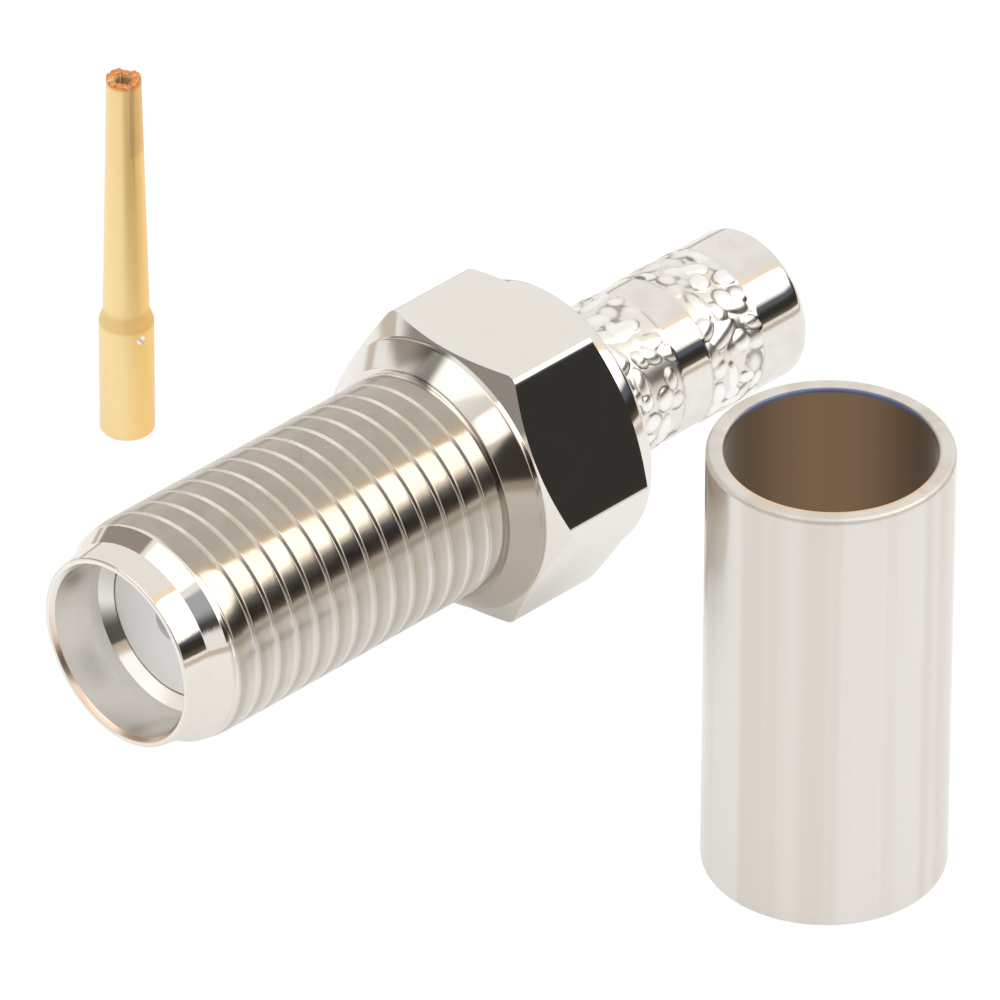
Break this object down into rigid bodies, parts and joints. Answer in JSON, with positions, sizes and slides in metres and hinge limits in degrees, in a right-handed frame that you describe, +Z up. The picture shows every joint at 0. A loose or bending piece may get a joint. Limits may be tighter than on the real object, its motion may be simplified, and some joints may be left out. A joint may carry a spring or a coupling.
{
  "type": "sma coaxial crimp connector",
  "caption": "Threaded coaxial jack with a hexagon and knurled crimp barrel, laid out with its loose slotted contact and crimp ferrule.",
  "frame": {"origin": "centre of the reference plane, the shoulder inside the mouth where a mating plug seats, on the axis of the body", "axes": "+X out of the mouth along the axis of the body, +Z up, with the body lying on one flat of its hexagon and the loose ferrule and contact standing upright beside it"},
  "size_m": [0.0236, 0.0309, 0.0129],
  "materials": {
    "plated_body": "bright nickel plating over turned brass",
    "insulator_plastic": "satin white fluoropolymer",
    "gold_contact": "gold plating over a turned copper alloy",
    "plated_ferrule": "satin nickel plating over drawn copper alloy"
  },
  "bodies": {
    "root": {"connector_body": "plated_body", "insulator": "insulator_plastic", "centre_contact": "gold_contact", "crimp_ferrule": "plated_ferrule"}
  },
  "joints": []
}
